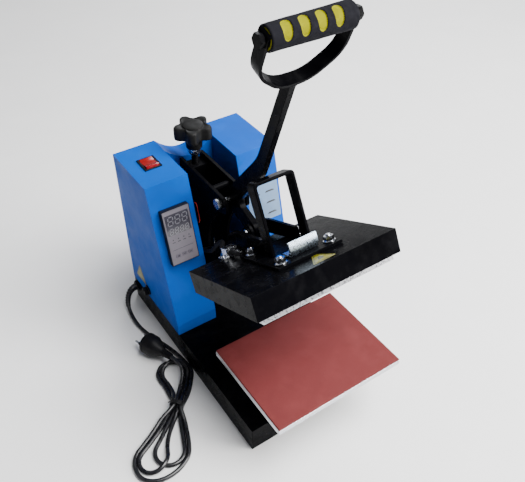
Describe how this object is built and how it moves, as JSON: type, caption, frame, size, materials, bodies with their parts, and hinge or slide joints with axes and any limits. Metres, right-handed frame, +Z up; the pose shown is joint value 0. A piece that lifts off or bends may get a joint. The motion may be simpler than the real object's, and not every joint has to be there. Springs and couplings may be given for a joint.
{
  "type": "heat press",
  "caption": "Clamshell heat press: hinged heated platen over a padded lower plate, toggle hand lever with foam grip, two blue electrics towers, mains cord.",
  "frame": {"origin": "middle of the base pan's underside, where the press stands", "axes": "+Z up, +Y from the operator to the back, +X to the operator's right, along the hinge pins"},
  "size_m": [0.4016, 0.46, 0.6364],
  "materials": {
    "black_metal": "gloss black powder coat",
    "blue_metal": "semi-gloss blue powder coat",
    "aluminium": "machined",
    "silicone": "matt brick-red silicone rubber",
    "black_plastic": "moulded, fine texture",
    "knob_plastic": "moulded phenolic",
    "controller_face": "silver-grey printed faceplate",
    "display": "smoked window with unlit segments",
    "key": "soft-touch keys",
    "red_plastic": "translucent red rocker",
    "terminal": "ceramic-filled moulding",
    "machined_steel": "turned steel",
    "zinc": "bright zinc plate",
    "chrome": "bright plated fasteners",
    "insulation": "ceramic fibre blanket",
    "cable_sleeve": "glass-fibre braided sleeve",
    "foam": "closed-cell foam",
    "cord": "PVC sheath",
    "cord_tie": "twist tie",
    "plug": "moulded plug"
  },
  "bodies": {
    "root": {"base_frame": "black_metal", "base_pan": "black_metal", "plate_pedestal": "black_metal", "lower_plate": "aluminium", "silicone_pad": "silicone", "left_tower_cover": "blue_metal", "right_tower_cover": "blue_metal", "rear_cover": "blue_metal", "controller_case": "black_plastic", "controller_face": "controller_face", "display_window": "display", "switch_housing": "black_plastic", "fuse_holder": "black_plastic", "fuse_cap": "black_plastic", "relay": "black_plastic", "terminal_block": "terminal", "main_frame": "black_metal", "cross_block": "machined_steel", "front_spacer": "black_metal", "main_shaft": "machined_steel", "shaft_nut": "zinc", "lift_spring": "zinc", "lever_pin": "zinc", "lever_pin_nut": "zinc", "cord_gland": "black_plastic", "cord_boot": "cord", "power_cord": "cord", "cord_hank": "cord", "cord_tie": "cord_tie", "mains_plug": "plug"},
    "arm": {"arm_plate_left": "black_metal", "arm_plate_right": "black_metal", "toggle_pin": "zinc", "mounting_plate": "black_metal", "plate_bolt_front_left": "chrome", "plate_bolt_front_right": "chrome", "plate_bolt_back_left": "chrome", "plate_bolt_back_right": "chrome", "yoke": "black_metal", "lever_rest": "zinc", "platen_cover": "black_metal", "heating_plate": "aluminium", "heating_element": "machined_steel", "insulation": "insulation", "cable_clamp": "zinc", "heater_cable": "cable_sleeve"},
    "lever": {"lever_bar": "black_metal", "link_pin": "zinc", "handle_bow": "black_metal", "grip_bolt": "chrome", "grip_nut": "chrome", "foam_grip": "foam"},
    "link": {"toggle_link": "black_metal"},
    "knob": {"adjusting_screw": "zinc", "lock_nut": "zinc", "star_knob": "knob_plastic"},
    "rocker": {"switch_rocker": "red_plastic"},
    "set_key": {"key_set": "key"},
    "down_key": {"key_down": "key"},
    "up_key": {"key_up": "key"}
  },
  "joints": [
    {"name": "arm_hinge", "type": "hinge", "parent": "root", "child": "arm", "pos_m": [0, 0.1344, 0.1187], "axis": [1, 0, 0], "range_deg": [0, 27.9], "stiffness_Nm_per_rad": 22, "springref_deg": -34.38},
    {"name": "lever_hinge", "type": "hinge", "parent": "root", "child": "lever", "pos_m": [0, 0.06, 0.288], "axis": [1, 0, 0], "range_deg": [0, 57.7]},
    {"name": "link_hinge", "type": "hinge", "parent": "arm", "child": "link", "pos_m": [0, 0.0402, 0.19381], "axis": [1, 0, 0], "range_deg": [-74.06, 0]},
    {"name": "knob_turn", "type": "hinge", "parent": "root", "child": "knob", "pos_m": [0, 0.172, 0.3], "axis": [0, 0, 1], "range_deg": [-720, 720]},
    {"name": "rocker_tilt", "type": "hinge", "parent": "root", "child": "rocker", "pos_m": [-0.0802, 0.173, 0.3188], "axis": [1, 0, 0], "range_deg": [0, 14]},
    {"name": "set_key_press", "type": "slide", "parent": "root", "child": "set_key", "axis": [0, 0.9711, -0.2387], "range_m": [0, 0.0003], "stiffness_N_per_m": 600},
    {"name": "down_key_press", "type": "slide", "parent": "root", "child": "down_key", "axis": [0, 0.9711, -0.2387], "range_m": [0, 0.0003], "stiffness_N_per_m": 600},
    {"name": "up_key_press", "type": "slide", "parent": "root", "child": "up_key", "axis": [0, 0.9711, -0.2387], "range_m": [0, 0.0003], "stiffness_N_per_m": 600}
  ],
  "couplings": [
    {"joint": "lever_hinge", "follows": "arm_hinge", "ratio": 2.0681},
    {"joint": "link_hinge", "follows": "arm_hinge", "ratio": -2.6545}
  ]
}
